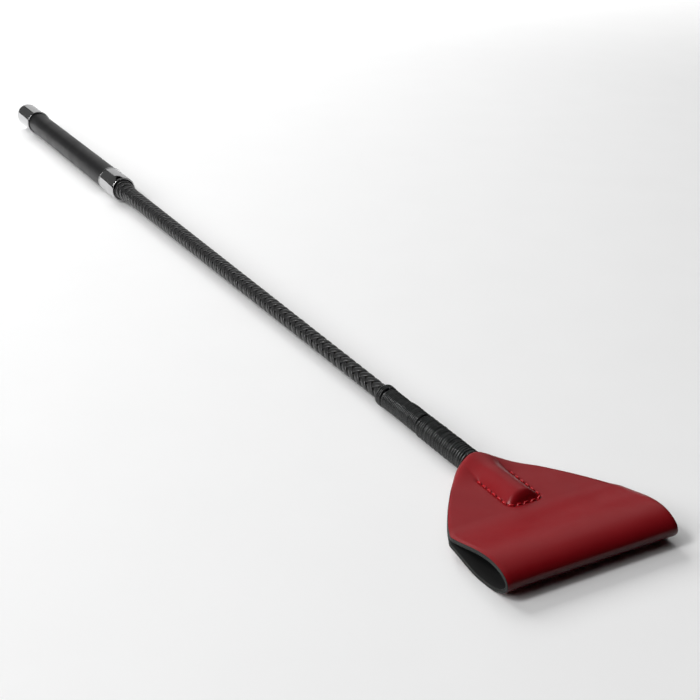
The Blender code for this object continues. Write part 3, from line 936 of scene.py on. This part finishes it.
for node, mat in (
    ("handle_core", drawn_aluminium()),
    ("rod_bush_rear", PLASTIC),
    ("rod_bush_front", PLASTIC),
    ("taper_filler", PLASTIC),
    ("rod_tip_cap", PLASTIC),
):
    frame["nodes"][node].material_slots[0].material = mat

cap = end_cap(CHROME)
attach(cap, "handle")
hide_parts("end_cap")

collar = ferrule(CHROME)
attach(collar, "handle")
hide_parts("ferrule")

cover = grip(grip_leatherette())
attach(cover, "handle")
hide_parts("grip_sleeve")

braid = plait(braid_lace())
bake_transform(braid)
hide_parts("braid_root", "braid")

core = rod(glass_fibre())
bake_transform(core)
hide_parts("rod_root", "rod")

for name, node, start, end, pitches, surface in (
    ("whipping_ring_turns", "whipping_ring", RING_START, RING_END, (1.1 * MM, 1.1 * MM), ring_surface),
    ("whipping_first_turns", "whipping_first", FIRST_START, FIRST_END, (1.0 * MM, 1.1 * MM), first_surface),
    ("whipping_second_turns", "whipping_second", SECOND_START, SECOND_END, (1.15 * MM, 1.45 * MM), second_surface),
):
    turns = wound(name, start, end, *pitches, surface, THREAD)
    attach(turns, "shaft")
    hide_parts(node)

# The leather and its lining are each one skin, laid in the world frame; the flap's joint lies just past the rod's tip.
skin_travels = leaf_travels()

leather = skin(
    "flap_leather_skin",
    skin_travels,
    top=0,
    bottom=LEATHER,
    trim=0,
    shares=np.linspace(-1, 1, 101),
    roundness=0.22 * MM,
    materials=[LEATHER_RED, EDGE],
)
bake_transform(leather)
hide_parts("leather_neck_upper", "leather_neck_lower", "flap_leather")

# The lining starts inside the neck. In the sewn end its two leaves meet, and past it they part.
LINING_START = 626 * MM
lining_from = (LINING_START - TONGUE_START) / (FOLD_CENTRE - TONGUE_START)
lining_travels = skin_travels[(skin_travels > lining_from) & (skin_travels < 3 - lining_from)]
lining_flat = np.clip(np.minimum(lining_travels, 3 - lining_travels), 0, 1)
lining_x = mix(TONGUE_START, FOLD_CENTRE, lining_flat)
lining = skin(
    "flap_lining_skin",
    lining_travels,
    top=LEATHER + 0.01 * MM,
    bottom=mix(HALF_STACK - 0.03 * MM, STACK, smooth(lining_x, 652 * MM, 664 * MM)),
    trim=0.12 * MM,
    shares=np.linspace(-1, 1, 61),
    roundness=0.15 * MM,
    materials=[LINING_BLACK, EDGE],
)
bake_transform(lining)
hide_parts("lining_neck_upper", "lining_neck_lower", "flap_lining")

for word, side in (("upper", 1), ("lower", -1)):
    seam = stitches(f"pocket_stitches_{word}", side, RED_THREAD)
    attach(seam, "shaft")
    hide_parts(f"pocket_seam_{word}")


# ---------------------------------------------------------------- floor, lights and camera


FLOOR_SIZE = 16
FLOOR_GAP = 0.2 * MM


def floor():
    """A wide pale floor just under the crop. It is mirrored in gloss, but throws no light up at the crop's sides."""
    bpy.ops.mesh.primitive_plane_add(size=FLOOR_SIZE, location=(0, 0, -FLOOR_GAP))
    plane = bpy.context.object
    plane.name = "floor"
    plane.data.materials.append(pale_floor())
    plane.visible_diffuse = False


def area_light(name, place, target, size, power, mirrored=True):
    """A lamp that the camera doesn't see, and that gloss mirrors unless told otherwise."""
    light = bpy.data.lights.new(name, "AREA")
    light.shape = "RECTANGLE"
    light.size, light.size_y = size
    light.energy = power
    obj = bpy.data.objects.new(name, light)
    bpy.context.scene.collection.objects.link(obj)
    obj.location = place
    obj.rotation_mode = "QUATERNION"
    obj.rotation_quaternion = (Vector(target) - Vector(place)).to_track_quat("-Z", "Y")
    obj.visible_camera = False
    obj.visible_glossy = mirrored


def studio():
    """Large soft lamps, and a pale surrounding that only the camera sees, so that black gloss stays black."""
    scene_world = bpy.data.worlds.new("studio")
    bpy.context.scene.world = scene_world
    scene_world.use_nodes = True
    background = scene_world.node_tree.nodes["Background"]
    background.inputs["Color"].default_value = (0.86, 0.86, 0.86, 1)
    background.inputs["Strength"].default_value = 1.0
    scene_world.cycles_visibility.diffuse = False
    scene_world.cycles_visibility.glossy = False
    area_light("overhead", (-0.3, 0.1, 1.6), (0.1, 0, 0), (2.0, 1.6), 4)
    area_light("back_low", (-1.7, -0.1, 1.25), (0.1, 0, 0), (1.8, 0.9), 40, mirrored=False)
    area_light("key_left", (0.0, -1.05, 1.2), (0.15, 0, 0), (0.3, 0.3), 9)
    area_light("side_left", (0.1, -1.6, 0.9), (0.1, 0, 0), (1.2, 0.7), 14)
    area_light("back_right", (-2.16, 0.62, 0.55), (-0.2, 0, 0), (1.15, 1.0), 2.5)
    area_light("far_right", (-0.87, 1.1, 0.95), (0.33, 0, 0), (1.2, 0.9), 1.7)
    area_light("back_dim", (-2.2, -0.75, 0.7), (0.1, 0, 0), (1.5, 1.3), 0.7)


def camera():
    """The photograph's viewpoint: from past the flap, a little to its left, looking down along the crop."""
    place = Vector((0.59454, -0.23582, 0.22704))
    look = Vector((-0.79492, 0.45037, -0.40653))
    roll = math.radians(1.08)
    data = bpy.data.cameras.new("camera")
    data.lens = 61.3
    data.clip_start, data.clip_end = 0.01, 50
    obj = bpy.data.objects.new("camera", data)
    bpy.context.scene.collection.objects.link(obj)
    obj.location = place
    obj.rotation_mode = "QUATERNION"
    obj.rotation_quaternion = look.to_track_quat("-Z", "Y") @ Matrix.Rotation(roll, 3, "Z").to_quaternion()
    bpy.context.scene.camera = obj


bpy.context.scene.view_settings.view_transform = "Standard"
floor()
studio()
camera()
